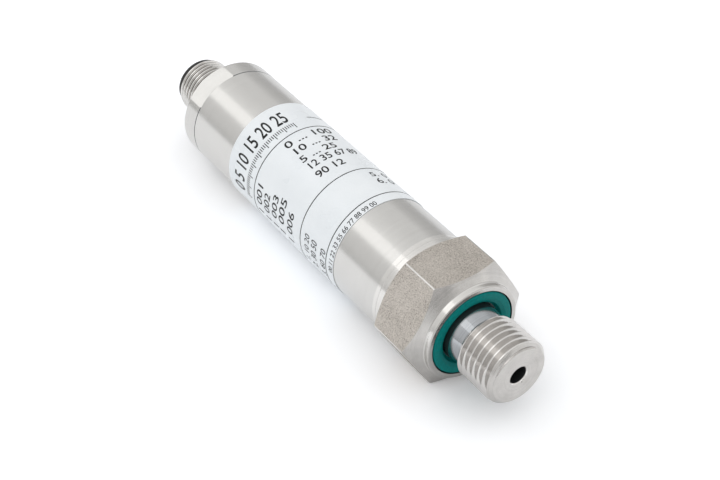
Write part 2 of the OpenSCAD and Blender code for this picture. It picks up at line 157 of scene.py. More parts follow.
def screw_thread(bm, crest_r, pitch, depth, start, end, envelope, turn_back, crest_share=0.125):
    """Screws a V thread from start to end, and trims it to an envelope of radius over x.

    The screw begins turn_back turns before start, which sets where its crests fall."""
    crest, root = pitch * crest_share, pitch / 6
    flank = (pitch - crest - root) / 2
    corners = [(0, crest_r), (crest, crest_r), (crest + flank, crest_r - depth),
               (crest + flank + root, crest_r - depth), (pitch, crest_r)]
    side_pieces = [2, 6, 2, 6]
    outline = [corners[0]]
    for (x0, r0), (x1, r1), count in zip(corners, corners[1:], side_pieces):
        outline += [(x0 + (x1 - x0) * i / count, r0 + (r1 - r0) * i / count)
                    for i in range(1, count + 1)]
    first = start - turn_back * pitch
    one_turn = bmesh.new()
    turned(one_turn, [(first + x, r) for x, r in outline], advance=pitch)
    for turn in range(math.ceil((end - start) / pitch) + 2):
        copy = one_turn.copy()
        bmesh.ops.translate(copy, verts=copy.verts, vec=(turn * pitch * mm, 0, 0))
        join_shell(bm, copy)
    one_turn.free()
    for v in bm.verts:
        x = min(max(v.co.x / mm, start), end)
        r = math.hypot(v.co.y, v.co.z) / mm
        scale = min(1, envelope(x) / r)
        v.co = Vector((x * mm, v.co.y * scale, v.co.z * scale))
    merge_points(bm)


def stud_envelope(x):
    """The stud's radius over x: full, run out at the relief, and bevelled at the tip."""
    return min(stud_r, relief_r + x - thread_start, stud_r - tip_bevel + port_tip - x)


def face_place(face):
    """The x and the radius of a face's middle, in mm."""
    middle = face.calc_center_median() / mm
    return middle.x, math.hypot(middle.y, middle.z)


def finish_piece(bm, name, materials, replaced=()):
    """Makes the object of a finished shell, with smooth faces between its sharp edges."""
    sharp_angle = math.radians(9)
    close_shell(bm)
    for face in bm.faces:
        face.smooth = True
    for edge in bm.edges:
        edge.smooth = len(edge.link_faces) != 2 or edge.calc_face_angle() < sharp_angle
    mesh = bpy.data.meshes.new(name)
    bm.to_mesh(mesh)
    bm.free()
    for material in materials:
        mesh.materials.append(material)
    piece = bpy.data.objects.new(name, mesh)
    bpy.context.collection.objects.link(piece)
    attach(piece, "root")
    if replaced:
        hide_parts(*replaced)


class Pattern:
    """Short calls that add and link the nodes of one node tree."""

    def __init__(self, tree):
        self.tree = tree

    def add(self, kind, **settings):
        node = self.tree.nodes.new(kind)
        for key, value in settings.items():
            setattr(node, key, value)
        return node

    def link(self, source, target):
        self.tree.links.new(source, target)

    def feed(self, value, target):
        """Sets a socket to a number, or links it to another node's output."""
        if isinstance(value, (int, float)):
            target.default_value = value
        else:
            self.link(value, target)

    def maths(self, operation, *values):
        node = self.add("ShaderNodeMath", operation=operation)
        for value, target in zip(values, node.inputs):
            self.feed(value, target)
        return node.outputs[0]

    def ramp(self, value, *stops):
        """A colour over a value, from (place, colour or grey) stops."""
        node = self.add("ShaderNodeValToRGB")
        elements = node.color_ramp.elements
        while len(elements) < len(stops):
            elements.new(0.5)
        for element, (place, colour) in zip(elements, stops):
            element.position = place
            element.color = (colour,) * 3 + (1,) if isinstance(colour, (int, float)) else (*colour, 1)
        self.link(value, node.inputs[0])
        return node.outputs[0]


class Finish(Pattern):
    """A new material, and the patterns that its surfaces are made of, on the object's own coordinates."""

    def __init__(self, name, metallic=0.0, roughness=0.5, **sockets):
        self.material = bpy.data.materials.new(name)
        self.material.use_nodes = True
        super().__init__(self.material.node_tree)
        self.shader = self.tree.nodes["Principled BSDF"]
        self.shader.inputs["Metallic"].default_value = metallic
        self.shader.inputs["Roughness"].default_value = roughness
        for socket, value in sockets.items():
            self.shader.inputs[socket.replace("_", " ")].default_value = value
        self.place = self.add("ShaderNodeTexCoord").outputs["Object"]

    def xyz(self):
        split = self.add("ShaderNodeSeparateXYZ")
        self.link(self.place, split.inputs[0])
        return split.outputs

    def round_axis(self):
        """x along the axis, radius from it, and the angle round it."""
        x, y, z = self.xyz()
        radius = self.maths("SQRT", self.maths("ADD", self.maths("MULTIPLY", y, y),
                                               self.maths("MULTIPLY", z, z)))
        return x, radius, self.maths("ARCTAN2", z, y)

    def vector(self, *axes):
        node = self.add("ShaderNodeCombineXYZ")
        for value, target in zip(axes, node.inputs):
            self.feed(value, target)
        return node.outputs[0]

    def noise(self, size, vector=None, detail=2.0, roughness=0.5):
        """Noise whose grains are about size mm across."""
        node = self.add("ShaderNodeTexNoise")
        node.inputs["Scale"].default_value = 1 / (size * mm)
        node.inputs["Detail"].default_value = detail
        node.inputs["Roughness"].default_value = roughness
        self.link(vector or self.place, node.inputs["Vector"])
        return node.outputs["Fac"]

    def colour(self, value, *stops):
        self.link(self.ramp(value, *stops), self.shader.inputs["Base Color"])

    def rough(self, value, factor, base):
        self.link(self.maths("MULTIPLY_ADD", value, factor, base), self.shader.inputs["Roughness"])

    def bump(self, height, depth, strength=1.0):
        """Relief of this depth in mm; several calls stack."""
        node = self.add("ShaderNodeBump")
        node.inputs["Strength"].default_value = strength
        node.inputs["Distance"].default_value = depth * mm
        self.link(height, node.inputs["Height"])
        earlier = self.shader.inputs["Normal"]
        if earlier.is_linked:
            self.link(earlier.links[0].from_socket, node.inputs["Normal"])
        self.link(node.outputs[0], earlier)


def turned_steel(name, dark, light, roughness, line_size, line_depth, cloud=0.06):
    """Stainless steel with fine lathe lines that follow the tool round the axis."""
    f = Finish(name, metallic=1.0)
    x, radius, angle = f.round_axis()
    stretched = f.vector(x, radius, f.maths("MULTIPLY", angle, 0.00002))
    lines = f.noise(line_size, stretched, detail=3.0)
    clouds = f.noise(3.0, detail=3.0, roughness=0.6)
    f.colour(f.maths("MULTIPLY", f.maths("ADD", lines, clouds), 0.5), (0.3, dark), (0.7, light))
    f.rough(f.maths("ADD", clouds, lines), cloud, roughness - cloud)
    f.bump(lines, line_depth, 0.6)
    return f.material


def bar_skin(name):
    """The grainy, pickled skin of the hexagonal bar, grey brown with dark pits."""
    f = Finish(name, metallic=1.0)
    grain = f.noise(0.21, detail=3.0, roughness=0.65)
    fine = f.noise(0.1)
    speckle = f.maths("ADD", f.maths("MULTIPLY", grain, 0.65), f.maths("MULTIPLY", fine, 0.35))
    speckle = f.maths("ADD", speckle, f.maths("MULTIPLY_ADD", f.noise(4.5), 0.12, -0.06))
    f.colour(speckle, (0.37, (0.17, 0.15, 0.13)), (0.46, (0.49, 0.45, 0.405)),
             (0.64, (0.70, 0.655, 0.60)))
    f.rough(speckle, -0.25, 0.52)
    f.bump(grain, 0.09, 0.9)
    f.bump(fine, 0.03, 0.8)
    return f.material


port_steel = turned_steel("port_steel", (0.46, 0.445, 0.425), (0.645, 0.625, 0.60),
                          roughness=0.2, line_size=0.09, line_depth=0.009)
hexagon_skin = bar_skin("hexagon_skin")
# a darker, bluer copy of the port's steel: painted shade on the neck between the seal and the thread
neck_steel = turned_steel("neck_steel", (0.37, 0.385, 0.40), (0.48, 0.495, 0.51),
                          roughness=0.11, line_size=0.12, line_depth=0.004)
# a near-black copy of the steel: painted shade in the seal groove, the bore and the joint between tube
# and head
groove_steel = turned_steel("groove_steel", (0.08, 0.085, 0.09), (0.17, 0.18, 0.185),
                            roughness=0.45, line_size=0.12, line_depth=0.003)
# a lighter copy of the steel: painted highlight on the hexagon's corners, the collar's edge, the bore's
# countersink, the shoulder, the tube's front band and the thread crests
bright_steel = turned_steel("bright_steel", (0.66, 0.645, 0.62), (0.75, 0.735, 0.71),
                            roughness=0.15, line_size=0.1, line_depth=0.002, cloud=0.03)
thread_steel = turned_steel("thread_steel", (0.54, 0.525, 0.505), (0.71, 0.69, 0.67),
                            roughness=0.12, line_size=0.07, line_depth=0.004)
port_finishes = [port_steel, hexagon_skin, neck_steel, groove_steel, bright_steel, thread_steel]
port_index, skin_index, neck_index, groove_index, bright_index, thread_index = range(6)

# the round where the collar runs out into the hexagon's front cone
foot_reach = collar_fillet * cone_slope
foot_turns = [math.radians(turn) for turn in range(0, 61, 6)]
collar_foot = [(collar_base + foot_reach - collar_fillet * math.sin(turn),
                collar_r + collar_fillet * (1 - math.cos(turn))) for turn in foot_turns]
bm = bmesh.new()
turned(bm, [(relief_end, neck_r), (thread_start, neck_r), (seat_end, seat_r),
            (groove_floor, seat_r), (groove_floor, groove_wall_r), (0, groove_wall_r),
            (0, collar_r - collar_edge), (-collar_edge, collar_r), *collar_foot,
            (collar_base - (cone_r - collar_r) * cone_slope, cone_r),
            (shoulder_front + (cone_r - shoulder_r) * cone_slope, cone_r),
            (shoulder_front, shoulder_r), (tube_front + 2 * weld_groove_half, shoulder_r),
            (tube_front + weld_groove_half, shoulder_r - weld_groove_depth), (tube_front, shoulder_r),
            (tube_front, spigot_r), (port_rear, spigot_r), (port_rear, cavity_r),
            (cavity_floor, cavity_r), (cavity_floor, chamber_r), (chamber_front, chamber_r),
            (chamber_front, bore_r), (port_tip - bore_sink, bore_r), (port_tip, bore_r + bore_sink),
            (port_tip, bore_r + 2 * bore_sink), (port_tip, stud_r - tip_bevel)])
close_shell(bm)
for flat in range(6):
    mill_flat(bm, bm.faces[:], hex_flats / 2, 60 * flat, skin_index)
corners = [e for e in bm.edges if all(f.material_index == skin_index for f in e.link_faces)]
# the eased corners of the hexagon are painted lighter, as a highlight
for face in ease_edges(bm, corner_break, corners):
    face.material_index = bright_index
ease_edges(bm, edge_break)
for face in bm.faces:
    x, radius = face_place(face)
    # the bore is painted near black, as painted shade
    if radius < bore_r + slack and x < port_tip - bore_sink:
        face.material_index = groove_index
    # the bore's countersink is painted lighter, as a highlight
    elif radius < bore_r + bore_sink and x > port_tip - bore_sink:
        face.material_index = bright_index
    # the seal groove and the seat beside it are painted near black, as painted shade
    elif groove_floor - slack < x < seat_end and radius < groove_wall_r + slack / 10:
        face.material_index = groove_index
    # the neck gets the darker steel, as painted shade
    elif seat_end < x < relief_end and radius < seat_r:
        face.material_index = neck_index
    # the shoulder and the collar's edge are painted lighter, as highlights
    elif tube_front < x < shoulder_front + slack and radius > spigot_r:
        face.material_index = bright_index
    elif collar_base < x < 0 and collar_r - slack / 2 < radius < collar_r + collar_fillet:
        face.material_index = bright_index

# a small nick that a tool left in the rim of the bore
nick = Vector((port_tip, 0.78, -1.87)) * mm
nick_push = Vector((-0.2, 0.06, -0.14)) * mm
nick_reach = 0.24 * mm
for v in bm.verts:
    v.co += nick_push * max(0, 1 - (v.co - nick).length / nick_reach)

stud = bmesh.new()
screw_thread(stud, stud_r, stud_pitch, stud_thread_depth, thread_start, port_tip, stud_envelope,
             turn_back=1.57)
# the stud's crests are painted lighter, as a highlight
for face in stud.faces:
    x, radius = face_place(face)
    if x > port_tip - tip_bevel + slack / 2:
        face.material_index = port_index
    elif radius > stud_r - slack / 2:
        face.material_index = bright_index
    else:
        face.material_index = thread_index
join_shell(bm, stud)
finish_piece(bm, "threaded_port", port_finishes, ["pressure_port"])

# ---------------------------------------------------------------------------
# Port seal. A profiled ring of teal fluorocarbon rubber, pressed into the
# groove of the collar. Its flat rim stands just proud of the sealing face,
# and behind a rounded brow it slopes down towards the neck.
# ---------------------------------------------------------------------------
seal_in = 6.1
seal_out = 8.65
seal_back = groove_floor + 0.01
seal_proud = 0.1
seal_bevel = 0.2
seal_rim_in = seal_out - 1.3
seal_brow, seal_brow_r = -0.15, seal_in + 0.5
seal_foot, seal_foot_r = -0.75, seal_in + 0.1


def rubber(name, dark, light, sheen):
    """Soft rubber: slightly mottled, with a dull skin."""
    f = Finish(name, Specular_IOR_Level=sheen)
    mottle = f.noise(0.5, detail=3.0)
    f.colour(mottle, (0.3, dark), (0.7, light))
    f.rough(mottle, 0.16, 0.32)
    f.bump(f.noise(0.12), 0.01, 0.5)
    return f.material


seal_rubber = rubber("seal_rubber", (0.0, 0.165, 0.155), (0.0, 0.215, 0.20), sheen=0.08)
bm = bmesh.new()
turned(bm, [(seal_back, seal_in), (seal_back, seal_out), (seal_proud - seal_bevel, seal_out),
            (seal_proud, seal_out - seal_bevel), (seal_proud, seal_rim_in), (seal_brow, seal_brow_r),
            (seal_foot, seal_foot_r), (seal_foot, seal_in), (seal_back, seal_in)])
close_shell(bm)
ease_edges(bm, width=0.12)
finish_piece(bm, "seal_ring", [seal_rubber], ["port_seal_ring"])

# ---------------------------------------------------------------------------
# Sensor capsule. A turned steel body, closed at its front by a rippled
# diaphragm under a welded ring and filled with oil through a hole that a
# pressed ball closes. A ring nut holds it against the floor of the port.
# ---------------------------------------------------------------------------


def dress(material, *nodes):
    """Gives pieces that keep their CAD shape this finish."""
    for node in nodes:
        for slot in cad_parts[node].material_slots:
            slot.material = material


capsule_steel = turned_steel("capsule_steel", (0.48, 0.475, 0.465), (0.62, 0.61, 0.60),
                             roughness=0.24, line_size=0.06, line_depth=0.004)
diaphragm_foil = turned_steel("diaphragm_foil", (0.60, 0.60, 0.59), (0.70, 0.70, 0.69),
                              roughness=0.14, line_size=0.25, line_depth=0.001, cloud=0.03)
dress(capsule_steel, "sensor_body", "weld_ring", "fill_ball", "retaining_ring")
dress(diaphragm_foil, "isolating_diaphragm")
dress(rubber("black_rubber", 0.006, 0.014, sheen=0.4), "capsule_oring", "carrier_oring", "head_oring")

# ---------------------------------------------------------------------------
# Measuring cell. A silicon chip, etched thin in its middle, bonded to a glass
# pedestal in the capsule's cup. Gold plated pins pass through beads of green
# glass that are fused into the steel.
# ---------------------------------------------------------------------------


def glass(name, dark, light, clear):
    """Fused glass with faint streaks and a few seeds."""
    f = Finish(name, roughness=0.08, Transmission_Weight=clear, IOR=1.48)
    f.colour(f.noise(0.6, detail=3.0), (0.3, dark), (0.7, light))
    f.bump(f.noise(0.25), 0.004, 0.4)
    return f.material


def etched_silicon(name):
    """Dark blue grey silicon with the fine lines of its resistors."""
    f = Finish(name, metallic=0.4)
    _, y, z = f.xyz()
    lines = f.maths("MULTIPLY", f.maths("SINE", f.maths("DIVIDE", y, 0.05 * mm)),
                    f.maths("SINE", f.maths("DIVIDE", z, 0.08 * mm)))
    f.colour(lines, (0.55, (0.05, 0.06, 0.085)), (0.75, (0.20, 0.21, 0.24)))
    f.rough(f.noise(0.3), 0.1, 0.12)
    return f.material


def gold_plate(name):
    """Thin gold over nickel, slightly clouded."""
    f = Finish(name, metallic=1.0)
    tarnish = f.noise(0.4)
    f.colour(tarnish, (0.3, (0.72, 0.48, 0.17)), (0.7, (0.84, 0.60, 0.26)))
    f.rough(tarnish, 0.12, 0.16)
    return f.material


contact_gold = gold_plate("contact_gold")
dress(glass("cell_glass", (0.62, 0.68, 0.65), (0.74, 0.79, 0.76), clear=0.6), "cell_pedestal")
dress(glass("bead_glass", (0.03, 0.10, 0.08), (0.05, 0.15, 0.12), clear=0.3), "feedthrough_glass")
dress(etched_silicon("etched_silicon"), "silicon_chip")
dress(contact_gold, "header_pins")

# ---------------------------------------------------------------------------
# Boards and film cables. Glass fibre boards under green solder mask, with
# copper tracks below it, joined by two ribbons of amber polyimide film.
# ---------------------------------------------------------------------------


def solder_mask(name):
    """Green mask over tracks that run along and across the board."""
    f = Finish(name, roughness=0.3)
    x, y, z = f.xyz()
    wander = f.maths("MULTIPLY", f.noise(2.5), 9.0)
    along = f.maths("SINE", f.maths("ADD", f.maths("DIVIDE", y, 0.14 * mm), wander))
    across = f.maths("SINE", f.maths("ADD", f.maths("DIVIDE", f.maths("ADD", x, z), 0.22 * mm), wander))
    tracks = f.maths("MAXIMUM", along, f.maths("MULTIPLY", across, 0.9))
    f.colour(tracks, (0.55, (0.004, 0.055, 0.026)), (0.8, (0.012, 0.115, 0.05)))
    f.rough(f.noise(0.8), 0.1, 0.25)
    f.bump(tracks, 0.02, 0.6)
    return f.material


def ribbon_film(name):
    """Amber film with copper tracks along it, closer where it is glued down."""
    f = Finish(name)
    _, y, _ = f.xyz()
    tracks = f.maths("SINE", f.maths("DIVIDE", y, 0.11 * mm))
    f.colour(tracks, (0.35, (0.46, 0.19, 0.03)), (0.6, (0.60, 0.30, 0.10)))
    f.rough(tracks, 0.08, 0.3)
    f.bump(tracks, 0.015, 0.5)
    return f.material


dress(solder_mask("solder_mask"), "signal_board", "main_board", "contact_board")
dress(ribbon_film("ribbon_film"), "front_ribbon", "rear_ribbon")

# ---------------------------------------------------------------------------
# Parts on the boards. Black epoxy packages on tinned legs, moulded tantalum
# capacitors, small ceramic ones, laser trimmed resistors and a ferrite choke.
# ---------------------------------------------------------------------------
board_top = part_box("main_board")[1].z


def moulded(name, dark, light, roughness=0.45, grain=0.25):
    """Moulded plastic or pressed ceramic with a fine dull texture."""
    f = Finish(name)
    texture = f.noise(grain, detail=3.0)
    f.colour(texture, (0.3, dark), (0.7, light))
    f.rough(texture, 0.2, roughness - 0.1)
    f.bump(texture, 0.008, 0.5)
    return f.material


def chip_package(name):
    """Black epoxy above, tinned metal where the legs lie on the board."""
    f = Finish(name)
    _, _, z = f.xyz()
    height = f.maths("DIVIDE", f.maths("SUBTRACT", z, board_top), 1 * mm)
    leg = f.ramp(height, (0.20, 1.0), (0.22, 0.0))
    grain = f.noise(0.2, detail=3.0)
    mix = f.add("ShaderNodeMix", data_type="RGBA")
    f.link(leg, mix.inputs["Factor"])
    f.link(f.ramp(grain, (0.3, 0.010), (0.7, 0.026)), mix.inputs["A"])
    f.link(f.ramp(grain, (0.3, (0.55, 0.55, 0.54)), (0.7, (0.66, 0.66, 0.65))), mix.inputs["B"])
    f.link(mix.outputs["Result"], f.shader.inputs["Base Color"])
    f.link(leg, f.shader.inputs["Metallic"])
    f.rough(grain, 0.2, 0.35)
    f.bump(grain, 0.006, 0.5)
    return f.material


dress(chip_package("chip_package"), "processor", "amplifier", "output_driver", "voltage_regulator",
      "suppressor_diodes")
dress(moulded("resistor_glaze", 0.012, 0.05, roughness=0.3), "trim_resistors")
dress(moulded("tantalum_case", (0.52, 0.31, 0.06), (0.64, 0.41, 0.10), roughness=0.35),
      "tantalum_capacitors")
dress(moulded("capacitor_ceramic", (0.29, 0.18, 0.11), (0.37, 0.25, 0.16), roughness=0.5),
      "ceramic_capacitors")
dress(moulded("ferrite", 0.030, 0.060, roughness=0.6, grain=0.15), "filter_choke")

# ---------------------------------------------------------------------------
# Board carrier and sleeve. The board slides into a moulded cage, and a film
# sleeve keeps everything clear of the steel tube.
# ---------------------------------------------------------------------------


def film(name, low, high, roughness):
    """Satin film, faintly clouded, with a fine orange peel."""
    f = Finish(name)
    clouds = f.noise(6.0)
    f.colour(clouds, (0.3, low), (0.7, high))
    f.rough(clouds, 0.08, roughness - 0.04)
    f.bump(f.noise(0.6), 0.002, 0.4)
    return f.material


dress(moulded("carrier_plastic", 0.018, 0.034), "board_carrier")
dress(film("sleeve_film", (0.56, 0.52, 0.33), (0.64, 0.60, 0.41), roughness=0.4), "insulating_sleeve")

# ---------------------------------------------------------------------------
# Housing tube. Thin stainless tube, ground and satin finished, laser welded
# to the port; the connector head is pressed into its rear end. A narrow
# band round its front end beside the weld is painted lighter, as a highlight.
# ---------------------------------------------------------------------------
tube_steel = turned_steel("tube_steel", (0.60, 0.59, 0.57), (0.64, 0.63, 0.61),
                          roughness=0.21, line_size=0.35, line_depth=0.0004, cloud=0.03)
band_rear = tube_front - 1
band_index = 1
rim_length, rim_depth = 0.08, 0.1
bm = bmesh.new()
turned(bm, [(band_rear, tube_r), (tube_rear + rim_length, tube_r), (tube_rear, tube_r - rim_depth),
            (tube_rear, tube_r - tube_wall), (tube_front, tube_r - tube_wall), (tube_front, tube_r),
            (band_rear, tube_r)])
close_shell(bm)
# the band at the tube's front end is painted lighter, as a highlight
for face in bm.faces:
    if face_place(face)[0] > band_rear:
        face.material_index = band_index
ease_edges(bm, edge_break)
finish_piece(bm, "tube", [tube_steel, bright_steel], ["housing_tube"])

# ---------------------------------------------------------------------------
# Label. Pale film glued round the tube, its two ends a millimetre apart
# underneath. Printed in black with rules, a scale and plain numerals only.
# ---------------------------------------------------------------------------
label_low, label_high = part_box("label")
label_rear, label_front = label_low.x / mm, label_high.x / mm
label_r = label_high.z / mm
glue_gap = 0.02
label_back_r = tube_r + glue_gap
label_gap = 1
gap_angle = math.degrees(label_gap / label_r)
label_film = film("label_film", (0.81, 0.845, 0.87), (0.85, 0.88, 0.90), roughness=0.28)
bm = bmesh.new()
label_section = [(label_front, label_back_r), (label_front, label_r),
                 (label_rear, label_r), (label_rear, label_back_r)]
section = bm.faces.new([bm.verts.new((x * mm, 0, r * mm)) for x, r in label_section])
bmesh.ops.spin(bm, geom=[section], cent=(0, 0, 0), axis=(1, 0, 0), dvec=(0, 0, 0), steps=round_steps,
               angle=math.radians(360 - gap_angle), use_merge=False)
close_shell(bm)
bmesh.ops.rotate(bm, verts=bm.verts, cent=(0, 0, 0),
                 matrix=Matrix.Rotation(math.radians(180 + gap_angle / 2), 3, "X"))
ease_edges(bm, width=0.02, least_angle=60)
finish_piece(bm, "label_sheet", [label_film], ["label"])


def ink(name):
    """Flat black printing ink with slightly uneven cover."""
    f = Finish(name, roughness=0.5, Specular_IOR_Level=0.25)
    f.colour(f.noise(0.4), (0.3, 0.006), (0.7, 0.014))
    return f.material


# the print reads up round the tube, with the heads of the numerals towards
# the plug; its angles are counted in degrees from the reader's side
ink_thick = 0.012
ink_lift = 0.001
print_step = 0.6
reading_angle = 34.3
cap_share = 0.72


def wrap_print(bm, flat, x_base, start_angle):
    """Cuts a flat mesh of print into strips and lays it round the label from this angle."""
    left = min(v.co.x for v in flat.verts)
    count = int((max(v.co.x for v in flat.verts) - left) / print_step)
    for i in range(1, count + 1):
        bmesh.ops.bisect_plane(flat, geom=flat.verts[:] + flat.edges[:] + flat.faces[:],
                               plane_co=(left + i * print_step, 0, 0), plane_no=(1, 0, 0))
    for v in flat.verts:
        angle = math.radians(start_angle + reading_angle) - v.co.x / label_r
        radius = label_r + ink_lift + v.co.z
        v.co = Vector((x_base - v.co.y, -radius * math.sin(angle), radius * math.cos(angle))) * mm
    join_shell(bm, flat)


def print_numerals(bm, words, x_base, start_angle, end_angle, height, weight=0.0):
    """Sets a line of numerals, height mm tall, that fills the arc between two angles."""
    curve = bpy.data.curves.new("numerals", "FONT")
    curve.body = words
    curve.size = height / cap_share
    curve.offset = weight
    curve.resolution_u = 4
    curve.extrude = ink_thick / 2
    setter = bpy.data.objects.new("numerals", curve)
    bpy.context.collection.objects.link(setter)
    mesh = bpy.data.meshes.new_from_object(setter.evaluated_get(bpy.context.evaluated_depsgraph_get()))
    bpy.data.objects.remove(setter)
    flat = bmesh.new()
    flat.from_mesh(mesh)
    bpy.data.meshes.remove(mesh)
    wide = max(v.co.x for v in flat.verts)
    stretch = math.radians(start_angle - end_angle) * label_r / wide
    bmesh.ops.scale(flat, verts=flat.verts, vec=(stretch, 1, 1))
    bmesh.ops.translate(flat, verts=flat.verts, vec=(0, 0, ink_thick / 2))
    wrap_print(bm, flat, x_base, start_angle)


def print_bar(bm, x_base, start_angle, end_angle, height):
    """Prints a plain rule or bar between two angles."""
    length = math.radians(start_angle - end_angle) * label_r
    flat = bmesh.new()
    bmesh.ops.create_cube(flat, size=1)
    bmesh.ops.scale(flat, verts=flat.verts, vec=(length, height, ink_thick))
    bmesh.ops.translate(flat, verts=flat.verts, vec=(length / 2, height / 2, ink_thick / 2))
    wrap_print(bm, flat, x_base, start_angle)


bm = bmesh.new()
for rule_x in (-29.99, -38.74, -55.34):
    print_bar(bm, rule_x, 145, -205, height=0.21)

# the scale: numerals, ticks under them, and a dash further round
print_numerals(bm, "0 5 10 15 20 25", -59.15, 65, -34, height=3.7, weight=0.06)
print_bar(bm, -59.0, -55, -76, height=0.2)
scale_head, scale_start = -58.2, 64
tick_count, tick_step, tick_width = 41, 2.45, 0.9
long_tick, short_tick = 1.7, 1.0
for tick in range(tick_count):
    length = short_tick if tick % 5 else long_tick
    angle = scale_start - tick * tick_step
    print_bar(bm, scale_head + length, angle, angle - tick_width, height=length)

# lines of numerals: baseline, words, first and last angle, height and weight
for x_base, words, start, end, height, weight in (
        (-52.6, "1 001", 75, 38, 1.9, 0.02), (-52.6, "0 ... 100", -9, -66, 1.9, 0.03),
        (-49.9, "1 002", 75, 40, 1.9, 0.02), (-49.9, "10 ... 32", -9, -62, 1.9, 0.03),
        (-47.2, "1 003", 75, 34, 1.8, 0.02), (-47.2, "5 ... 25", -9, -52, 1.8, 0.03),
        (-44.6, "1 005", 75, 30, 1.9, 0.02), (-44.6, "12 35 67 89", -9, -70, 1.9, 0.03),
        (-41.6, "1 006", 75, 36, 1.9, 0.02), (-41.6, "90 12", -9, -42, 1.9, 0.03),
        (-35.9, "1. 10 20", 75, 42, 1.5, 0.01), (-35.9, "5. 0", -52, -75, 1.5, 0.01),
        (-33.4, "2. 30 50", 75, 42, 1.8, 0.01), (-33.4, "6. 0", -52, -75, 1.8, 0.01),
        (-30.5, "3. 60 70", 75, 42, 1.6, 0.01),
        (-28.0, "00 11 22 33 55 66 77 88 99 00", 60, -30, 1.15, 0.01)):
    print_numerals(bm, words, x_base, start, end, height, weight)
finish_piece(bm, "label_print", [ink("print_ink")])

# ---------------------------------------------------------------------------
# Connector head. Turned in one piece of stainless steel: a spigot with a ring
# groove that sits in the tube, the full diameter with two spanner flats, a
# bevel and the round plug's thread.
# ---------------------------------------------------------------------------
head_steel = turned_steel("head_steel", (0.57, 0.56, 0.54), (0.63, 0.62, 0.60),
                          roughness=0.18, line_size=0.2, line_depth=0.001, cloud=0.04)
# a dark copy of the head's steel: painted shade in the roots of the plug thread
root_steel = turned_steel("root_steel", (0.15, 0.142, 0.135), (0.26, 0.248, 0.235),
                          roughness=0.3, line_size=0.07, line_depth=0.004)
head_low, head_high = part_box("connector_head")
plug_end, head_front = head_low.x / mm, head_high.x / mm
head_rear = tube_rear - 4.1
bevel_rear = head_rear - 1.45
bevel_r = tube_r - 1.15
joint_chamfer = 0.16
joint_depth = 0.15
insert_seat_r = 4.9
board_room_r = 7.6
board_room_rear = tube_rear + 1.2
head_clear = 0.13
head_spigot_r = tube_r - tube_wall - head_clear
ring_groove_r = 8.7
ring_groove_rear = tube_rear + 2
ring_groove_front = tube_rear + 4.2
flat_distance = 9.9
flat_sides = (30, 210)
# the plug's thread is M12 x 1
plug_r = 6.0
plug_pitch = 1.0
plug_thread_depth = 0.52
plug_root = 5.35
plug_rim_r = 5.3
plug_relief = 0.45
crest_band = 0.28
lip_seat = plug_end + 0.15


def plug_envelope(x):
    """The plug thread's radius over x: full, run out at the bevel, and eased at its rim."""
    run_out = plug_root + (bevel_rear - plug_relief - x) * 2
    return min(plug_r, max(run_out, plug_root), plug_rim_r + x - lip_seat)


head_finishes = [head_steel, groove_steel, bright_steel, root_steel]
head_index, joint_index, crest_index, root_index = range(4)
bm = bmesh.new()
turned(bm, [(lip_seat, plug_rim_r), (lip_seat, insert_seat_r), (board_room_rear, insert_seat_r),
            (board_room_rear, board_room_r), (head_front, board_room_r), (head_front, head_spigot_r),
            (ring_groove_front, head_spigot_r), (ring_groove_front, ring_groove_r),
            (ring_groove_rear, ring_groove_r), (ring_groove_rear, head_spigot_r),
            (tube_rear, head_spigot_r), (tube_rear, tube_r - joint_chamfer),
            (tube_rear - joint_chamfer, tube_r), (head_rear, tube_r), (bevel_rear, bevel_r),
            (bevel_rear, plug_root)])
close_shell(bm)
for side in flat_sides:
    outside = [face for face in bm.faces if face_place(face)[0] < tube_rear + slack / 10]
    mill_flat(bm, outside, flat_distance, side, head_index)
ease_edges(bm, edge_break)
for face in bm.faces:
    x, radius = face_place(face)
    # the chamfered joint at the tube's end is painted near black, as painted shade in the gap
    if tube_rear - joint_depth < x < tube_rear + slack / 10 and radius < tube_r - slack / 10:
        face.material_index = joint_index
thread = bmesh.new()
screw_thread(thread, plug_r, plug_pitch, plug_thread_depth, lip_seat, bevel_rear, plug_envelope,
             turn_back=2.2, crest_share=0.3)
# the plug thread's crests are painted lighter, as a highlight, and its roots dark, as painted shade
for face in thread.faces:
    _, radius = face_place(face)
    face.material_index = crest_index if radius > plug_r - crest_band else root_index
join_shell(bm, thread)
finish_piece(bm, "plug_head", head_finishes, ["connector_head"])

# ---------------------------------------------------------------------------
# Insert and contacts. The insert is moulded in black plastic, pushed in from
# the front of the head; its lip covers the end of the thread. Five gold
# plated contacts stand in it, and a rib inside codes the cable's plug.
# ---------------------------------------------------------------------------
insert_plastic = moulded("insert_plastic", 0.004, 0.012, roughness=0.5)
insert_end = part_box("contact_carrier")[0].x / mm
insert_face = plug_end + 8.6
insert_back = tube_rear + 2.8
insert_r = insert_seat_r - 0.05
oring_r = 3.95
oring_front = insert_back - 4
oring_rear = insert_back - 5.8
socket_r = 4.25
lip_r = 5.45
rib_size = Vector((8.2, 0.8, 0.8))
rib_place = Vector((insert_face - 4.0, 0, 4.05))
bm = bmesh.new()
turned(bm, [(insert_back, 0), (insert_back, insert_r), (oring_front, insert_r), (oring_front, oring_r),
            (oring_rear, oring_r), (oring_rear, insert_r), (lip_seat, insert_r), (lip_seat, lip_r),
            (insert_end, lip_r), (insert_end, socket_r), (insert_face, socket_r), (insert_face, 0)])
close_shell(bm)
ease_edges(bm, width=0.1)
rib = bmesh.new()
bmesh.ops.create_cube(rib, size=1)
bmesh.ops.scale(rib, verts=rib.verts, vec=rib_size * mm)
bmesh.ops.translate(rib, verts=rib.verts, vec=rib_place * mm)
ease_edges(rib, width=0.12)
join_shell(bm, rib)
finish_piece(bm, "plug_insert", [insert_plastic], ["contact_carrier"])

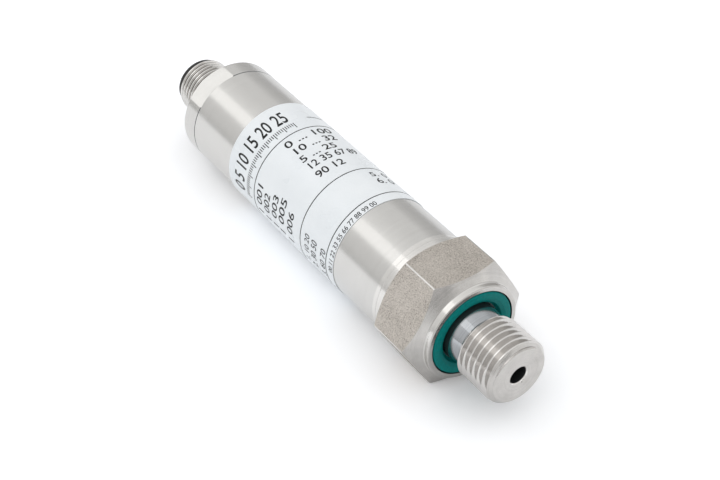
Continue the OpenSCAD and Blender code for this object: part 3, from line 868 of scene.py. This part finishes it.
# one contact stands in the middle and four in a ring round it
contact_tip, contact_tail = (corner.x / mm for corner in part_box("contact_pins"))
contact_ring_r = 2.5
tail_r, shank_r, pin_r = 0.3, 0.7, 0.5
bm = bmesh.new()
for place in range(5):
    contact = bmesh.new()
    turned(contact, [(contact_tail, 0), (contact_tail, tail_r), (insert_back, tail_r),
                     (insert_back, shank_r), (insert_face, shank_r), (insert_face, pin_r),
                     (contact_tip + 0.4, pin_r), (contact_tip + 0.15, pin_r - 0.08),
                     (contact_tip, pin_r / 2), (contact_tip, 0)])
    merge_points(contact)
    if place:
        angle = math.radians(45 + 90 * place)
        aside = Vector((0, -math.sin(angle), math.cos(angle))) * contact_ring_r * mm
        bmesh.ops.translate(contact, verts=contact.verts, vec=aside)
    join_shell(bm, contact)
finish_piece(bm, "contacts", [contact_gold], ["contact_pins"])

# ---------------------------------------------------------------------------
# Floor, light and camera. A pale floor under one long soft box overhead, in a
# tent of grey walls that give the steel its light and dark bands.
# ---------------------------------------------------------------------------
floor_size = 3
floor_drop = 0.02 * mm
bm = bmesh.new()
bmesh.ops.create_grid(bm, x_segments=1, y_segments=1, size=floor_size)
bmesh.ops.translate(bm, verts=bm.verts, vec=(0, 0, cad_box[0].z - floor_drop))
floor_mesh = bpy.data.meshes.new("floor")
bm.to_mesh(floor_mesh)
bm.free()
floor = bpy.data.objects.new("floor", floor_mesh)
bpy.context.collection.objects.link(floor)
f = Finish("floor_white", roughness=0.9, Specular_IOR_Level=0.0)
along, across, _ = f.xyz()
# the floor's painted shade, which only metal and glass see: on the near side darker under the hexagon and
# the stud and again far out along +X, on the far side darker towards the plug, and the change from one to
# the other under the axis
length_share = f.maths("MULTIPLY_ADD", along, 4.0, 0.2)
near_level = f.ramp(length_share, (0.1, 1.0), (0.17, 0.74), (0.24, 0.76), (0.30, 0.95),
                    (0.42, 0.92), (0.8, 0.76))
far_level = f.ramp(length_share, (0.05, 0.86), (0.25, 1.03))
behind = f.ramp(f.maths("MULTIPLY_ADD", across, 25.0, 0.5), (0.5, 0.0), (0.62, 1.0))
floor_level = f.maths("MULTIPLY_ADD", f.maths("SUBTRACT", far_level, near_level), behind, near_level)
# the ramp's value is 0 for scattered light, up to 0.5 for what metal and glass
# show, and 1 for the camera, which sees the floor white
rays = f.add("ShaderNodeLightPath").outputs
mirrored = f.maths("MAXIMUM", rays["Is Glossy Ray"], rays["Is Transmission Ray"])
shown = f.maths("MULTIPLY", mirrored, f.maths("MULTIPLY", floor_level, 0.5))
f.colour(f.maths("MAXIMUM", shown, rays["Is Camera Ray"]),
         (0.18, (0.885, 0.90, 0.92)), (0.2, (0.46, 0.464, 0.472)), (0.5, (1.15, 1.16, 1.18)),
         (1.0, (1.20, 1.21, 1.23)))
floor_mesh.materials.append(f.material)

# the light tent: radiance over the angle round the X axis, from straight up
# (0) towards -Y (positive) and +Y (negative); one set of walls behind the
# plug, another in front of the stud, and a dim patch far out along the axis.
# Both are dark where the soft box stands in for them.
rear_walls = [(-180, 0.8), (-100, 0.60), (-88, 0.60), (-70, 0.62), (-58, 0.70), (-46, 0.88), (-25, 0.88),
              (-5, 0.95), (8, 1.02), (15, 1.10), (17, 0.0), (41, 0.0), (43, 1.0), (50, 0.88), (62, 0.84),
              (74, 0.82), (82, 0.72), (92, 0.62), (104, 0.8), (180, 0.8)]
front_walls = [(-180, 0.9), (-90, 1.08), (-70, 0.92), (-40, 0.90), (15, 0.9), (17, 0.0), (41, 0.0),
               (43, 0.8), (90, 0.7), (180, 0.9)]
world = bpy.data.worlds.new("light_tent")
bpy.context.scene.world = world
world.use_nodes = True
sky = Pattern(world.node_tree)
split = sky.add("ShaderNodeSeparateXYZ")
sky.link(sky.add("ShaderNodeTexCoord").outputs["Generated"], split.inputs[0])
toward_x, toward_y, upward = split.outputs
turn = sky.maths("ARCTAN2", sky.maths("MULTIPLY", toward_y, -1.0), upward)
turn_share = sky.maths("MULTIPLY_ADD", turn, 0.5 / math.pi, 0.5)
rear, front = (sky.ramp(turn_share, *[(degrees / 360 + 0.5, light) for degrees, light in walls])
               for walls in (rear_walls, front_walls))
far_end = sky.ramp(toward_x, (0.93, 0.92), (0.985, 0.58))


def blend(first, second, *stops):
    """Goes from one light to another over the share of +X in the direction."""
    change = sky.maths("SUBTRACT", second, first)
    return sky.maths("MULTIPLY_ADD", change, sky.ramp(toward_x, *stops), first)


tent = blend(blend(rear, front, (0.0, 0.0), (0.5, 1.0)), far_end, (0.78, 0.0), (0.86, 1.0))
camera_ray = sky.add("ShaderNodeLightPath").outputs["Is Camera Ray"]
sky.link(sky.maths("MAXIMUM", tent, camera_ray), sky.tree.nodes["Background"].inputs["Color"])

# the soft box: a lamp of this radiance needs a power of radiance x area x pi
box_angle = math.radians(29)
box_distance = 0.7
box_middle = -0.45
box_radiance = 1.42
box_light = bpy.data.lights.new("overhead_box", "AREA")
box_light.shape = "RECTANGLE"
box_light.size, box_light.size_y = 2.6, 0.32
box_light.energy = box_radiance * box_light.size * box_light.size_y * math.pi
box = bpy.data.objects.new("overhead_box", box_light)
box.location = (box_middle, -box_distance * math.sin(box_angle), box_distance * math.cos(box_angle))
box.rotation_mode = "QUATERNION"
box.rotation_quaternion = (Vector((box_middle, 0, 0)) - box.location).to_track_quat("-Z", "Y")
bpy.context.collection.objects.link(box)

camera_data = bpy.data.cameras.new("camera")
camera_data.lens = 72.77
camera_data.sensor_width = 36
camera_data.clip_start = 0.01
camera = bpy.data.objects.new("camera", camera_data)
camera.location = (0.1409, -0.1219, 0.1786)
camera.rotation_mode = "QUATERNION"
camera.rotation_quaternion = Vector((-0.6268, 0.4346, -0.6467)).to_track_quat("-Z", "Y")
bpy.context.collection.objects.link(camera)
bpy.context.scene.camera = camera
bpy.context.scene.view_settings.view_transform = "Standard"
